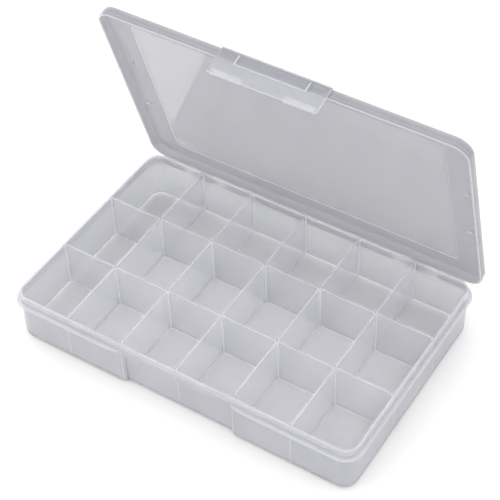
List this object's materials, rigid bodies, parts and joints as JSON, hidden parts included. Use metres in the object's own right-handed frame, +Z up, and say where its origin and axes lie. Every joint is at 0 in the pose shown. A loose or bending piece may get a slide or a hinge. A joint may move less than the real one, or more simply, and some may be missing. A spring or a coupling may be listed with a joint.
{
  "type": "parts sorting tray",
  "caption": "Milky plastic tray of fixed open compartments with an outer ledge, a shallow hinged lid standing half open, and a wide snap latch on the lid's front edge.",
  "frame": {"origin": "centre of the face that the tray stands on", "axes": "+X along the length to the right, +Y towards the hinge, +Z up"},
  "size_m": [0.274, 0.1858, 0.2023],
  "materials": {
    "tray_plastic": "milky translucent polypropylene, satin",
    "lid_plastic": "milky translucent polypropylene, glossy inside"
  },
  "bodies": {
    "tray": {"catch_lip": "tray_plastic", "cross_divider_1": "tray_plastic", "cross_divider_2": "tray_plastic", "cross_divider_3": "tray_plastic", "cross_divider_4": "tray_plastic", "cross_divider_5": "tray_plastic", "flange_corner_front_left": "tray_plastic", "flange_corner_front_right": "tray_plastic", "flange_corner_rear_left": "tray_plastic", "flange_corner_rear_right": "tray_plastic", "flange_front_left": "tray_plastic", "flange_front_right": "tray_plastic", "flange_left": "tray_plastic", "flange_rear_left": "tray_plastic", "flange_rear_middle": "tray_plastic", "flange_rear_right": "tray_plastic", "flange_right": "tray_plastic", "hinge_bracket_left": "tray_plastic", "hinge_bracket_right": "tray_plastic", "lip_band": "tray_plastic", "long_divider_front": "tray_plastic", "long_divider_rear": "tray_plastic", "recess_end_left": "tray_plastic", "recess_end_right": "tray_plastic", "recess_wall": "tray_plastic", "stacking_foot": "tray_plastic", "tray_floor": "tray_plastic", "wall_corner_front_left": "tray_plastic", "wall_corner_front_right": "tray_plastic", "wall_corner_rear_left": "tray_plastic", "wall_corner_rear_right": "tray_plastic", "wall_front_left": "tray_plastic", "wall_front_middle": "tray_plastic", "wall_front_right": "tray_plastic", "wall_left": "tray_plastic", "wall_rear": "tray_plastic", "wall_right": "tray_plastic"},
    "lid": {"hinge_clip_left": "lid_plastic", "hinge_clip_right": "lid_plastic", "latch_root": "lid_plastic", "lid_panel": "lid_plastic", "lid_ridge_front": "lid_plastic", "lid_ridge_left": "lid_plastic", "lid_ridge_rear": "lid_plastic", "lid_ridge_right": "lid_plastic", "skirt_corner_front_left": "lid_plastic", "skirt_corner_front_right": "lid_plastic", "skirt_corner_rear_left": "lid_plastic", "skirt_corner_rear_right": "lid_plastic", "skirt_front": "lid_plastic", "skirt_left": "lid_plastic", "skirt_rear": "lid_plastic", "skirt_right": "lid_plastic"},
    "latch": {"catch_rib_left": "lid_plastic", "catch_rib_right": "lid_plastic", "latch_tab": "lid_plastic"}
  },
  "joints": [
    {"name": "lid_hinge", "type": "hinge", "parent": "tray", "child": "lid", "pos_m": [0, 0.0873, 0.0313], "axis": [-1, 0, 0], "range_deg": [-72.8, 107.2]},
    {"name": "latch_flex", "type": "hinge", "parent": "lid", "child": "latch", "pos_m": [0, 0.04489, 0.20126], "axis": [-1, 0, 0], "range_deg": [0, 8], "stiffness_Nm_per_rad": 0.1}
  ]
}
